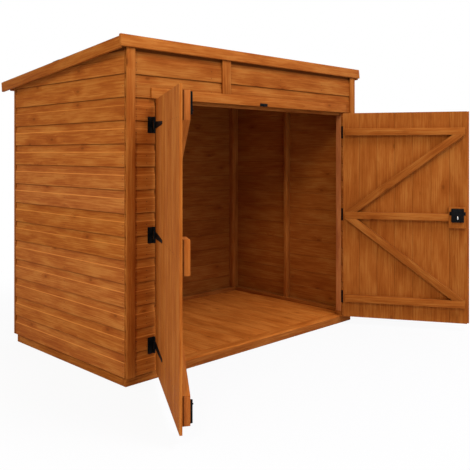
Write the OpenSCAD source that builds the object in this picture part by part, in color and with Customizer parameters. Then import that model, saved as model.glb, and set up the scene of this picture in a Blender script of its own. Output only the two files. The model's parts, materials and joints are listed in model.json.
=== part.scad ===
// Pent-roof timber bike shed with shiplap walls and two ledged and braced doors.
// Lengths are in millimetres. The origin is on the ground at the middle of the floor,
// +X runs to the right along the front, +Y to the back and +Z up.

/* [Shed] */
// Width over the cladding of the two side walls
shed_w = 1990; // [1700:10:2400]
// Depth over the cladding of the front and back walls
shed_d = 1206; // [1000:6:1600]
// Thickness of the wall cladding and of the door boards
board_t = 12; // [8:1:18]
// Face width of the framing timber, along the wall
frame_w = 28; // [20:1:45]
// Depth of the framing timber, into the shed
frame_d = 45; // [34:1:70]

/* [Floor] */
// Height of the floor bearers
bearer_h = 43; // [30:1:90]
// Thickness of the floor boards
deck_t = 12; // [9:1:25]
// Width of the board along the front edge of the floor
threshold_w = 65; // [50:1:120]
// Number of joists between the front and the back bearer
joist_count = 3; // [1:2:5]
// How far the cladding hangs below the top of the floor
cladding_lap = 5; // [2:1:20]

/* [Roof] */
// Height of the top edge of the front fascia
ridge_z = 1806; // [1650:2:2200]
// Fall of the roof to the back, in degrees
roof_pitch = 6; // [3:0.5:12]
// Reach of the roof past each side wall
side_overhang = 44; // [30:1:120]
// Reach of the fascia past the front wall
front_overhang = 18; // [16:1:60]
// Reach of the roof past the back wall
rear_overhang = 100; // [50:2:200]
// Thickness of the roof boards
roof_deck_t = 10; // [8:1:20]
// Thickness of the roofing felt
felt_t = 3; // [2:0.5:5]
// Height of the front fascia
fascia_h = 62; // [45:1:120]
// Height of the bargeboards
barge_h = 60; // [40:1:120]
// Thickness of the fascia and the bargeboards
fascia_t = 16; // [10:1:22]
// Number of purlins under the roof boards
purlin_count = 2; // [1:1:4]

/* [Doorway] */
// Width of the front wall panel left of the doorway
left_panel_w = 186.5; // [150:0.5:320]
// Width of the front wall panel right of the doorway
right_panel_w = 133; // [130:1:320]
// Drop from the top of the fascia to the top of the doorway
head_drop = 316; // [250:2:450]
// Gap around each door and between the two doors
door_gap = 6; // [5:0.5:10]
// Height of the bottom edge of the doors above the ground
door_bottom = 56; // [48:1:58]
// How far the left door stands open, in degrees
left_open = 121.4; // [0:0.2:165]
// How far the right door stands open, in degrees
right_open = 120; // [0:0.2:165]

/* [Trim] */
// Width of the strips that cover the corners
corner_strip_w = 52; // [40:1:80]
// Thickness of every cover strip
strip_t = 12; // [8:1:16]
// Height of the strip over the doorway
head_strip_h = 57; // [40:1:90]
// How far the strip over the doorway runs past it on each side
head_strip_run = 30; // [10:1:60]
// Width of the strip that covers the board joint over the doorway
joint_strip_w = 66; // [40:1:90]
// Distance of that strip from the left corner
joint_strip_x = 674; // [400:2:1200]

/* [Doors] */
// Height of the ledges across each door
ledge_h = 48; // [40:1:90]
// Thickness of the ledges, braces and blocks
ledge_t = 38; // [28:1:45]
// How far the ledges stop short of the edges of the door
ledge_inset = 16; // [12:1:50]
// Height of the outer ledges' middles from the ends of the door
ledge_rise = 134; // [120:1:260]
// Width of the braces
brace_w = 45; // [36:1:80]
// Width of the blocks on the left door
block_w = 104; // [90:1:150]
// How far those blocks stop short of the free edge of the door
block_set = 30; // [24:1:50]
// Height of the block at mid height on the left door
block_h = 150; // [120:2:220]
// Height of the blocks for the bolts
bolt_block_h = 125; // [115:1:130]
// How far the blocks for the bolts stop short of the ends of the door
block_inset = 23; // [10:1:30]
// Width of the strip that covers the gap between the doors
cover_strip_w = 44; // [34:1:80]
// Thickness of that strip
cover_strip_t = 16; // [14:1:24]
// How far that strip reaches past the edge of its door
cover_reach = 14; // [8:1:24]

/* [Ironmongery] */
// How far the pins of the left hinges stand outside the doorway, over the front panel
left_pin_set = 7.5; // [0:0.5:12]
// Length of the hinge straps from the pin
strap_l = 288; // [150:1:400]
// Width of the hinge straps at the pin
strap_w = 38; // [30:1:44]
// Width of the hinge straps at the tip
strap_tip_w = 16; // [10:1:28]
// Width of the hinge plates
plate_w = 41; // [36:1:60]
// Height of the hinge plates and of their knuckles
plate_h = 86; // [70:1:120]
// Thickness of the hinge iron
hinge_t = 3; // [2:0.5:4]
// Diameter of the hinge knuckles
knuckle_d = 10; // [9:0.5:11]
// Diameter of the hinge pins
pin_d = 5; // [4:0.5:6]
// Width of the block that carries the lock
lock_block_w = 109; // [100:1:150]
// Height of that block
lock_block_h = 139; // [130:1:200]
// How far that block stops short of the edge of the door
lock_inset = 12; // [6:1:30]
// Width of the lock case
lock_w = 80; // [60:1:90]
// Height of the lock case
lock_h = 92; // [70:1:100]
// Depth of the lock case
lock_t = 22; // [14:1:30]
// Diameter of the bolt rods
rod_d = 8; // [6:0.5:10]
// Length of the bolt rods
rod_l = 96; // [90:1:104]
// Travel of the bolts
bolt_throw = 54; // [50:1:54]

/* [Hidden] */

// Colours
TIMBER = "#b0682c";
TIMBER_DARK = "#8f4f20";
FELT = "#3c3d3b";
IRON = "#1a1a1c";
STEEL = "#c9c9c6";

// One overrun for all cuts, and the side count of round things
overrun = 1;
$fn = 48;

// Shed planes
left_x = -shed_w / 2;
right_x = shed_w / 2;
front_y = -shed_d / 2;
back_y = shed_d / 2;
floor_z = bearer_h + deck_t;
cladding_z = floor_z - cladding_lap;
side_frame_w = board_t + frame_d;
front_frame_y = front_y + board_t;
back_frame_y = back_y - board_t;

// The floor stands behind the closed doors by the door gap
base_front_y = front_y + board_t + door_gap;
base_back_y = back_y - board_t;
base_left_x = left_x + board_t;
base_right_x = right_x - board_t;
threshold_back_y = base_front_y + threshold_w;

// Roof planes, measured square to the slope below the top of the fascia
felt_set = 2;
deck_top = felt_set + felt_t;
deck_bottom = deck_top + roof_deck_t;
seat_gap = 0.02;
barge_set = (deck_top + deck_bottom) / 2;
fascia_y = front_y - front_overhang;
roof_l = (shed_d + front_overhang + rear_overhang) / cos(roof_pitch);
roof_left_x = left_x - side_overhang;
roof_w = shed_w + 2 * side_overhang;
fascia_bottom_z = ridge_z - fascia_t * sin(roof_pitch) - fascia_h * cos(roof_pitch);

// Height of the underside of the roof boards at a depth y, less the play they are seated with
function under_roof(y) =
    ridge_z - deck_bottom / cos(roof_pitch) - (y - fascia_y) * tan(roof_pitch) - seat_gap;

// Doorway and hinges
head_z = ridge_z - head_drop;
open_left_x = left_x + left_panel_w;
open_right_x = right_x - right_panel_w;
knuckle_clear = 1;
hinge_out = knuckle_d / 2 + knuckle_clear;
hinge_y = front_y - hinge_out;
door_edge = door_gap / 2;
left_hinge_x = open_left_x - left_pin_set;
left_pin_reach = left_pin_set + door_edge;
right_hinge_x = open_right_x - door_edge;
door_w = (open_right_x - open_left_x - 3 * door_gap) / 2;
door_top = head_z - door_gap;
stop_h = 20;
stop_d = 16;
stop_y = base_front_y;

// Door frame places: u is measured along the door, from the middle of the gap at its hinges
ledge_start = door_edge + ledge_inset;
ledge_end = door_edge + door_w - ledge_inset;
block_end = door_edge + door_w - block_set;
block_start = block_end - block_w;
ledge_bottom_z = door_bottom + ledge_rise;
ledge_top_z = door_top - ledge_rise;
ledge_mid_z = (ledge_bottom_z + ledge_top_z) / 2;
LEDGE_ZS = [ledge_bottom_z, ledge_mid_z, ledge_top_z];
board_in = hinge_out + board_t;
ledge_in = board_in + ledge_t;

// Hinges
knuckle_share = 0.5;
strap_knuckle_h = plate_h * knuckle_share;
knuckle_gap = 0.3;
pin_play = 0.05;
plate_gap = knuckle_d;

// Bolts on the left door
guide_t = 2;
guide_w = 24;
guide_box_w = 16;
guide_box_h = 12;
guide_web = 1;
rod_play = 0.06;
rod_in = ledge_in + guide_t + guide_web + rod_play + rod_d / 2;
rod_u = block_end - guide_w;
rod_hole_d = rod_d + 4;
knob_d = 6;
knob_l = 10;
bolt_set = 4;
top_block_z = door_top - block_inset - bolt_block_h;
bottom_block_z = door_bottom + block_inset;
top_rod_z = top_block_z + bolt_block_h - bolt_set - rod_l;
bottom_rod_z = bottom_block_z + bolt_set;
rod_hole_x = left_hinge_x + left_pin_reach + rod_u;
rod_hole_y = hinge_y + rod_in;
rod_hole_depth = top_rod_z + rod_l + bolt_throw + bolt_set - head_z;

// Lock on the right door
lock_block_end = door_edge + door_w - lock_inset;
lock_block_start = lock_block_end - lock_block_w;
lock_ear_w = 12;
lock_ear_h = 24;
lock_ear_t = 3;
lock_u = lock_block_end - lock_ear_w - lock_w / 2;
lock_rise = (lock_block_h - lock_h) / 3;
turn_w = 9;
turn_h = 25;
turn_t = 8;
turn_drop = 15;

// Catch over the meeting line of the doors
catch_w = 65;
catch_h = 18;
catch_t = 4;
meeting_x = (open_left_x + open_right_x) / 2;

// A box given by its low corner and its high corner
module box(low, high) {
    translate(low) cube(high - low);
}

// A block whose top follows the underside of the roof, lowered by a drop
module under_roof_block(x0, x1, y0, y1, z0, drop = 0) {
    translate([x0, 0, 0]) rotate([90, 0, 90]) linear_extrude(x1 - x0)
        polygon([[y0, z0], [y1, z0], [y1, under_roof(y1) - drop], [y0, under_roof(y0) - drop]]);
}

// A rail that follows the underside of the roof
module roof_rail(x0, x1, y0, y1) {
    translate([x0, 0, 0]) rotate([90, 0, 90]) linear_extrude(x1 - x0)
        polygon([[y0, under_roof(y0) - frame_w], [y1, under_roof(y1) - frame_w],
                 [y1, under_roof(y1)], [y0, under_roof(y0)]]);
}

// Puts children on the sloping roof, with their top at the top of the fascia
module on_roof() {
    translate([0, fascia_y, ridge_z]) rotate([-roof_pitch, 0, 0]) children();
}

// Puts children on the pins of the left hinges, and turns them with the door
module on_left_pins(angle = left_open) {
    translate([left_hinge_x, hinge_y, 0]) rotate([0, 0, -angle]) children();
}

// Puts children on the left door, drawn shut from the middle of the gap at its hinges
module on_left_door() {
    on_left_pins() translate([left_pin_reach, 0, 0]) children();
}

// Puts children on the right door, whose pins stand in the gap, as the mirror image of the left one
module on_right_door(angle = right_open) {
    translate([right_hinge_x, hinge_y, 0]) rotate([0, 0, angle]) mirror([1, 0, 0]) children();
}

// Mirrors children to both sides of the shed
module both_sides() {
    children();
    mirror([1, 0, 0]) children();
}

// Floor
module floor_bearers() color(TIMBER_DARK) {
    span = base_back_y - base_front_y - frame_w;
    for (i = [0 : joist_count + 1]) {
        end = i == 0 || i == joist_count + 1;
        trim = end ? 0 : frame_w;
        y = base_front_y + span * i / (joist_count + 1);
        box([base_left_x + trim, y, 0], [base_right_x - trim, y + frame_w, bearer_h]);
    }
}

module floor_side_rims() color(TIMBER_DARK) both_sides()
    box([base_left_x, base_front_y + frame_w, 0], [base_left_x + frame_w, base_back_y - frame_w, bearer_h]);

module floor_deck() color(TIMBER)
    box([base_left_x, threshold_back_y, bearer_h], [base_right_x, base_back_y, floor_z]);

module threshold_board() color(TIMBER) difference() {
    box([base_left_x, base_front_y, bearer_h], [base_right_x, threshold_back_y, floor_z]);
    translate([rod_hole_x, rod_hole_y, bearer_h - overrun])
        cylinder(d = rod_hole_d, h = deck_t + 2 * overrun);
}

// Walls
module left_wall() color(TIMBER)
    under_roof_block(left_x, left_x + board_t, front_frame_y, back_frame_y, cladding_z);

module right_wall() color(TIMBER)
    under_roof_block(right_x - board_t, right_x, front_frame_y, back_frame_y, cladding_z);

module back_wall() color(TIMBER)
    under_roof_block(left_x, right_x, back_frame_y, back_y, cladding_z);

module front_left_panel() color(TIMBER)
    box([left_x, front_y, cladding_z], [open_left_x, front_frame_y, head_z]);

module front_right_panel() color(TIMBER)
    box([open_right_x, front_y, cladding_z], [right_x, front_frame_y, head_z]);

module front_head_panel() color(TIMBER)
    under_roof_block(left_x, right_x, front_y, front_frame_y, head_z);

// Framing of the side walls
module side_wall_studs() color(TIMBER_DARK) both_sides() {
    span = back_frame_y - front_frame_y - frame_w;
    for (i = [0 : 2]) {
        y = front_frame_y + span * i / 2;
        under_roof_block(left_x + board_t, left_x + side_frame_w, y, y + frame_w,
                         floor_z + frame_w, frame_w);
    }
}

module side_wall_rails() color(TIMBER_DARK) both_sides() {
    box([left_x + board_t, front_frame_y, floor_z],
        [left_x + side_frame_w, back_frame_y, floor_z + frame_w]);
    roof_rail(left_x + board_t, left_x + side_frame_w, front_frame_y, back_frame_y);
}

// Framing of the back wall, between the side walls
module back_wall_studs() color(TIMBER_DARK) {
    span = shed_w - 2 * side_frame_w - frame_w;
    for (i = [0 : 3]) {
        x = left_x + side_frame_w + span * i / 3;
        under_roof_block(x, x + frame_w, back_frame_y - frame_d, back_frame_y, floor_z + frame_w, frame_w);
    }
}

module back_wall_rails() color(TIMBER_DARK) {
    box([left_x + side_frame_w, back_frame_y - frame_d, floor_z],
        [right_x - side_frame_w, back_frame_y, floor_z + frame_w]);
    roof_rail(left_x + side_frame_w, right_x - side_frame_w, back_frame_y - frame_d, back_frame_y);
}

// Framing of the front wall: a corner stud and a door post on each side, short studs over the doorway
module front_posts() color(TIMBER_DARK) {
    for (x = [left_x + side_frame_w, open_left_x - frame_w, open_right_x, right_x - side_frame_w - frame_w])
        box([x, front_frame_y, floor_z + frame_w], [x + frame_w, front_frame_y + frame_d, head_z]);
    for (x = [left_x + side_frame_w, left_x + joint_strip_x + (joint_strip_w - frame_w) / 2,
              right_x - side_frame_w - frame_w])
        under_roof_block(x, x + frame_w, front_frame_y, front_frame_y + frame_d, head_z + frame_d, frame_w);
}

module front_rails() color(TIMBER_DARK) {
    box([left_x + side_frame_w, front_frame_y, floor_z],
        [open_left_x, front_frame_y + frame_d, floor_z + frame_w]);
    box([open_right_x, front_frame_y, floor_z],
        [right_x - side_frame_w, front_frame_y + frame_d, floor_z + frame_w]);
    difference() {
        box([left_x + side_frame_w, front_frame_y, head_z],
            [right_x - side_frame_w, front_frame_y + frame_d, head_z + frame_d]);
        translate([rod_hole_x, rod_hole_y, head_z - overrun])
            cylinder(d = rod_hole_d, h = rod_hole_depth + overrun);
    }
    roof_rail(left_x + side_frame_w, right_x - side_frame_w, front_frame_y, front_frame_y + frame_d);
}

module door_stop() color(TIMBER_DARK)
    box([open_left_x, stop_y, head_z - stop_h], [open_right_x, stop_y + stop_d, head_z]);

// Cover strips
module front_corner_strips() color(TIMBER) both_sides()
    box([left_x, front_y - strip_t, cladding_z],
        [left_x + corner_strip_w, front_y, fascia_bottom_z - overrun]);

module back_corner_strips() color(TIMBER) both_sides()
    box([left_x, back_y, cladding_z], [left_x + corner_strip_w, back_y + strip_t,
        under_roof(back_y + strip_t) - overrun]);

module front_joint_strip() color(TIMBER)
    box([left_x + joint_strip_x, front_y - strip_t, head_z + head_strip_h],
        [left_x + joint_strip_x + joint_strip_w, front_y, fascia_bottom_z - overrun]);

module door_head_strip() color(TIMBER)
    box([open_left_x - head_strip_run, front_y - strip_t, head_z],
        [open_right_x + head_strip_run, front_y, head_z + head_strip_h]);

module head_catch_plate() color(IRON) {
    y = front_y - strip_t;
    box([meeting_x - catch_w / 2, y - catch_t, head_z], [meeting_x + catch_w / 2, y, head_z + catch_h]);
}

// Roof
module roof_deck() color(TIMBER_DARK) on_roof()
    box([roof_left_x + fascia_t, fascia_t, -deck_bottom], [-roof_left_x - fascia_t, roof_l, -deck_top]);

module roof_felt() color(FELT) on_roof()
    box([roof_left_x + fascia_t, fascia_t, -deck_top], [-roof_left_x - fascia_t, roof_l, -felt_set]);

module front_fascia() color(TIMBER) on_roof()
    box([roof_left_x, 0, -fascia_h], [roof_left_x + roof_w, fascia_t, 0]);

module bargeboards() color(TIMBER) on_roof() both_sides()
    box([roof_left_x, fascia_t, -barge_set - barge_h], [roof_left_x + fascia_t, roof_l, -barge_set]);

module rear_eaves_batten() color(TIMBER_DARK) on_roof()
    box([base_left_x, roof_l - frame_w, -deck_bottom - frame_d], [base_right_x, roof_l, -deck_bottom]);

module roof_purlins() color(TIMBER_DARK) on_roof() {
    step = roof_l / (purlin_count + 1);
    for (i = [1 : purlin_count])
        box([left_x + side_frame_w, step * i, -deck_bottom - frame_d],
            [right_x - side_frame_w, step * i + frame_w, -deck_bottom]);
}

// Tee hinges. The plate carries the pin between two knuckles, and the strap turns on it.
module hinge_plate(z) translate([0, 0, z - plate_h / 2]) {
    knuckle_h = (plate_h - strap_knuckle_h) / 2 - knuckle_gap;
    box([-plate_w, hinge_out - hinge_t, 0], [-plate_gap, hinge_out, plate_h]);
    for (foot = [0, plate_h - knuckle_h]) {
        box([-plate_gap, hinge_out - hinge_t, foot], [0, hinge_out, foot + knuckle_h]);
        translate([0, 0, foot]) cylinder(d = knuckle_d, h = knuckle_h);
    }
    cylinder(d = pin_d, h = plate_h);
}

// Up to its reach the strap is thinner at the back, so that it clears the panel when the door is shut
module hinge_strap(z, reach) translate([0, 0, z]) difference() {
    union() {
        translate([0, hinge_out, 0]) rotate([90, 0, 0]) linear_extrude(hinge_t)
            polygon([[0, -strap_w / 2], [strap_l, -strap_tip_w / 2],
                     [strap_l, strap_tip_w / 2], [0, strap_w / 2]]);
        translate([0, 0, -strap_knuckle_h / 2]) cylinder(d = knuckle_d, h = strap_knuckle_h);
    }
    translate([0, 0, -strap_knuckle_h / 2 - overrun])
        cylinder(d = pin_d + 2 * pin_play, h = strap_knuckle_h + 2 * overrun);
    box([-overrun, hinge_out - knuckle_clear, -strap_w / 2 - overrun],
        [reach, hinge_out + overrun, strap_w / 2 + overrun]);
}

module hinge_plates() color(IRON) {
    on_left_pins(0) for (z = LEDGE_ZS) hinge_plate(z);
    on_right_door(0) for (z = LEDGE_ZS) hinge_plate(z);
}

module left_hinge_straps() color(IRON) on_left_pins()
    for (z = LEDGE_ZS) hinge_strap(z, left_pin_reach + door_edge);

module right_hinge_straps() color(IRON) on_right_door() for (z = LEDGE_ZS) hinge_strap(z, door_edge);

// Door leaves, drawn shut
module door_boards()
    box([door_edge, hinge_out, door_bottom], [door_edge + door_w, board_in, door_top]);

module ledge(z, end)
    box([ledge_start, board_in, z - ledge_h / 2], [end, ledge_in, z + ledge_h / 2]);

// A brace from the hinge end of the middle ledge to an end near the free edge of the door, at a height
module brace(to_z, end) {
    from_z = ledge_mid_z + sign(to_z - ledge_mid_z) * ledge_h / 2;
    rise = abs(to_z - from_z);
    run = end - ledge_start;
    foot = brace_w * sqrt(rise * rise + run * run) / rise;
    translate([0, ledge_in, 0]) rotate([90, 0, 0]) linear_extrude(ledge_t)
        polygon([[ledge_start, from_z], [ledge_start + foot, from_z], [end, to_z], [end - foot, to_z]]);
}

module door_block(z0, z1, start = block_start, end = block_end)
    box([start, board_in, z0], [end, ledge_in, z1]);

module left_door_boards() color(TIMBER) on_left_door() door_boards();

module left_door_ledges() color(TIMBER) on_left_door() for (z = LEDGE_ZS) ledge(z, block_start);

module left_door_braces() color(TIMBER) on_left_door() {
    brace(bottom_block_z + bolt_block_h, block_end);
    brace(top_block_z, block_end);
}

module left_door_blocks() color(TIMBER) on_left_door() {
    door_block(bottom_block_z, bottom_block_z + bolt_block_h);
    door_block(ledge_mid_z - block_h / 2, ledge_mid_z + block_h / 2);
    door_block(top_block_z, top_block_z + bolt_block_h);
}

module right_door_boards() color(TIMBER) on_right_door() door_boards();

module right_door_ledges() color(TIMBER) on_right_door() {
    ledge(ledge_bottom_z, ledge_end);
    ledge(ledge_mid_z, lock_block_start);
    ledge(ledge_top_z, ledge_end);
}

module right_door_braces() color(TIMBER) on_right_door() {
    brace(ledge_bottom_z + ledge_h / 2, ledge_end);
    brace(ledge_top_z - ledge_h / 2, ledge_end);
}

// The strip is rebated where it reaches over the left door, to clear it
module right_door_cover_strip() color(TIMBER) on_right_door() difference() {
    edge = door_edge + door_w;
    box([edge + cover_reach - cover_strip_w, hinge_out - cover_strip_t, door_bottom],
        [edge + cover_reach, hinge_out, door_top]);
    box([edge, hinge_out - door_gap, door_bottom - overrun],
        [edge + cover_reach + overrun, hinge_out + overrun, door_top + overrun]);
}

// Bolts: guides on the blocks, and rods that slide in them
module bolt_guide(z0) {
    difference() {
        union() {
            box([rod_u - guide_w / 2, ledge_in, z0], [rod_u + guide_w / 2, ledge_in + guide_t, z0 + rod_l]);
            for (z = [z0, z0 + rod_l - guide_box_h])
                box([rod_u - guide_box_w / 2, ledge_in + guide_t, z],
                    [rod_u + guide_box_w / 2, rod_in + rod_d / 2 + guide_t, z + guide_box_h]);
        }
        translate([rod_u, rod_in, z0 - overrun]) cylinder(d = rod_d + 2 * rod_play, h = rod_l + 2 * overrun);
    }
}

module bolt_rod(z0, knob_z) {
    translate([rod_u, rod_in, z0]) cylinder(d = rod_d, h = rod_l);
    translate([rod_u, rod_in, knob_z]) rotate([-90, 0, 0]) cylinder(d = knob_d, h = knob_l);
}

module left_bolt_guides() color(IRON) on_left_door() {
    bolt_guide(top_rod_z);
    bolt_guide(bottom_rod_z);
}

module top_bolt() color(IRON) on_left_door()
    bolt_rod(top_rod_z, top_rod_z + guide_box_h + knob_d);

module bottom_bolt() color(IRON) on_left_door()
    bolt_rod(bottom_rod_z, bottom_rod_z + rod_l - guide_box_h - knob_d);

// Lock
module lock_block() color(TIMBER) on_right_door()
    door_block(ledge_mid_z - lock_block_h / 2, ledge_mid_z + lock_block_h / 2,
               lock_block_start, lock_block_end);

module lock_case() color(IRON) on_right_door() translate([lock_u, ledge_in, ledge_mid_z + lock_rise]) {
    ear_reach = lock_w / 2 + lock_ear_w;
    box([-lock_w / 2, 0, -lock_h / 2], [lock_w / 2, lock_t, lock_h / 2]);
    box([-ear_reach, 0, 0], [ear_reach, lock_ear_t, lock_ear_h]);
}

module lock_turn() color(STEEL) on_right_door()
    translate([lock_u, ledge_in + lock_t, ledge_mid_z + lock_rise - turn_drop]) rotate([-90, 0, 0]) {
        reach = (turn_h - turn_w) / 2;
        for (end = [-reach, reach])
            translate([0, end, 0]) cylinder(d = turn_w, h = turn_t);
        box([-turn_w / 2, -reach, 0], [turn_w / 2, reach, turn_t]);
    }

floor_bearers();
floor_side_rims();
floor_deck();
threshold_board();
left_wall();
right_wall();
back_wall();
front_left_panel();
front_right_panel();
front_head_panel();
side_wall_studs();
side_wall_rails();
back_wall_studs();
back_wall_rails();
front_posts();
front_rails();
door_stop();
front_corner_strips();
back_corner_strips();
front_joint_strip();
door_head_strip();
head_catch_plate();
roof_deck();
roof_felt();
roof_purlins();
front_fascia();
bargeboards();
rear_eaves_batten();
hinge_plates();
left_door_boards();
left_door_ledges();
left_door_braces();
left_door_blocks();
left_hinge_straps();
left_bolt_guides();
top_bolt();
bottom_bolt();
right_door_boards();
right_door_ledges();
right_door_braces();
right_door_cover_strip();
right_hinge_straps();
lock_block();
lock_case();
lock_turn();
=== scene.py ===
# %% [markdown]
# # Timber bike shed
# A closed garden shed for bicycles: shiplap walls on a boarded floor, a felted pent roof that falls to the
# back, and two ledged and braced doors that stand open. The frame loaded here is the same shed as plain
# solids at their real places and sizes. The script keeps those places and gives each solid its boards,
# eased edges, ironwork and finish.

# %% Load the frame
import json
import math
import random

import bmesh
import bpy
from mathutils import Matrix, Vector


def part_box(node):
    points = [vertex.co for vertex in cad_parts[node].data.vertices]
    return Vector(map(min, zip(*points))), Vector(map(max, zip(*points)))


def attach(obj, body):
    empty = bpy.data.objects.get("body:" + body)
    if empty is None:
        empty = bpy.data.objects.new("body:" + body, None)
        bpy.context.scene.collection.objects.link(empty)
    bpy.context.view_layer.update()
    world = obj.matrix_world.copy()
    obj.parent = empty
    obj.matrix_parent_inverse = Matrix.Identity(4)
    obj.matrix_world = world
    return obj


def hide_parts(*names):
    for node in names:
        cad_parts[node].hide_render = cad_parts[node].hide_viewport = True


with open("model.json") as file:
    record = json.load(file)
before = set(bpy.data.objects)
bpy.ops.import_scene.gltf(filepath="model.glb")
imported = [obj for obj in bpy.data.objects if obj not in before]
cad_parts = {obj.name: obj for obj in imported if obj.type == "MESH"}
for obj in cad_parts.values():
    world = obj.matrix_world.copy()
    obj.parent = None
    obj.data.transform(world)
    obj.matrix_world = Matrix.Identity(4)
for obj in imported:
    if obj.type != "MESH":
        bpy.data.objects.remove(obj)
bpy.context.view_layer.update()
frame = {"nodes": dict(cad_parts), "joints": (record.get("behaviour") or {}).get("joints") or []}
scene = bpy.context.scene

# %% [markdown]
# ## Camera
# The camera stands at eye height off the front left corner and looks level. A level camera keeps upright
# edges upright, so the lens is shifted down instead of tilted, as an architectural photographer does.

# %% Camera
PICTURE = 470
FOCAL_PIXELS = 660.33
HORIZON_PIXEL = 154.01
SENSOR = 36.0
CAMERA_PLACE = (-2.972, -3.382, 1.197)
CAMERA_YAW = 44.818


def in_scene(name, data):
    """A new object in the scene, for a camera, a lamp or a mesh."""
    made = bpy.data.objects.new(name, data)
    scene.collection.objects.link(made)
    return made


lens = bpy.data.cameras.new("camera")
lens.sensor_width = SENSOR
lens.lens = FOCAL_PIXELS / PICTURE * SENSOR
lens.shift_y = HORIZON_PIXEL / PICTURE - 0.5
scene.camera = in_scene("camera", lens)
scene.camera.location = CAMERA_PLACE
scene.camera.rotation_euler = (math.pi / 2, 0, -math.radians(CAMERA_YAW))
print("lens", round(lens.lens, 2), "mm, shift", round(lens.shift_y, 4))

# %% [markdown]
# ## A short way to write node trees
# Node trees get long when each node and link is a line of its own. The first small class adds a node, feeds
# its sockets with numbers or other nodes' outputs, and hands back the output. The second one builds on it
# for materials, so that a finish reads like a recipe.


# %% Node builder
def live(sockets, name):
    """The socket of a name that the node's settings leave in use."""
    return next(s for s in sockets if s.name == name and s.enabled)


class Nodes:
    """A node tree written as a chain of calls."""

    def __init__(self, tree):
        self.tree = tree

    def node(self, kind, **settings):
        made = self.tree.nodes.new(kind)
        for key, value in settings.items():
            setattr(made, key, value)
        return made

    def feed(self, socket, value):
        if isinstance(value, bpy.types.NodeSocket):
            self.tree.links.new(value, socket)
        else:
            socket.default_value = value

    def fed(self, made, *values):
        """Feeds a node's sockets in their order and hands back its first output."""
        for socket, value in zip(made.inputs, values):
            self.feed(socket, value)
        return made.outputs[0]

    def named(self, made, **values):
        """Feeds a node's sockets by their names and hands back the node."""
        for name, value in values.items():
            self.feed(live(made.inputs, name.replace("_", " ")), value)
        return made


# %% Finish builder
class Finish(Nodes):
    """One procedural material, or the sky."""

    def __init__(self, name, owner=None):
        self.material = owner or bpy.data.materials.new(name)
        self.material.use_nodes = True
        super().__init__(self.material.node_tree)
        self.shader = self.tree.nodes.get("Principled BSDF")

    def node(self, kind, **settings):
        return super().node("ShaderNode" + kind, **settings)

    def math(self, operation, *values):
        return self.fed(self.node("Math", operation=operation), *values)

    def vector(self, operation, *values):
        return self.fed(self.node("VectorMath", operation=operation), *values)

    def attribute(self, name, output="Vector"):
        return self.node("Attribute", attribute_name=name).outputs[output]

    def own_place(self):
        return self.node("TexCoord").outputs["Object"]

    def noise(self, place, scale, detail=2.0, rough=0.5, output="Fac"):
        made = self.named(self.node("TexNoise"), Vector=self.vector("MULTIPLY", place, scale), Scale=1.0,
                          Detail=detail, Roughness=rough)
        return made.outputs[output]

    def cells(self, place, scale, **settings):
        """Distance to the middle of a random cell, and a random number for that cell."""
        made = self.named(self.node("TexVoronoi", **settings), Vector=place, Scale=scale)
        return made.outputs["Distance"], self.fed(self.node("SeparateColor"), made.outputs["Color"])

    def span(self, value, low, high, to_low=0.0, to_high=1.0, kind="LINEAR"):
        return self.fed(self.node("MapRange", interpolation_type=kind), value, low, high, to_low, to_high)

    def ramp(self, value, *stops):
        made = self.node("ValToRGB")
        while len(made.color_ramp.elements) < len(stops):
            made.color_ramp.elements.new(0.5)
        for element, (place, colour) in zip(made.color_ramp.elements, stops):
            element.position = place
            element.color = (*colour, 1.0)
        return self.fed(made, value)

    def mix(self, share, first, second):
        made = self.node("Mix", data_type="RGBA")
        for index, value in ((0, share), (6, first), (7, second)):
            self.feed(made.inputs[index], (*value, 1.0) if isinstance(value, tuple) else value)
        return made.outputs[2]

    def bump(self, height, strength, distance):
        made = self.named(self.node("Bump"), Strength=strength, Distance=distance, Height=height)
        self.set(Normal=made.outputs[0])

    def set(self, **sockets):
        self.named(self.shader, **sockets)
        return self.material
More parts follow.
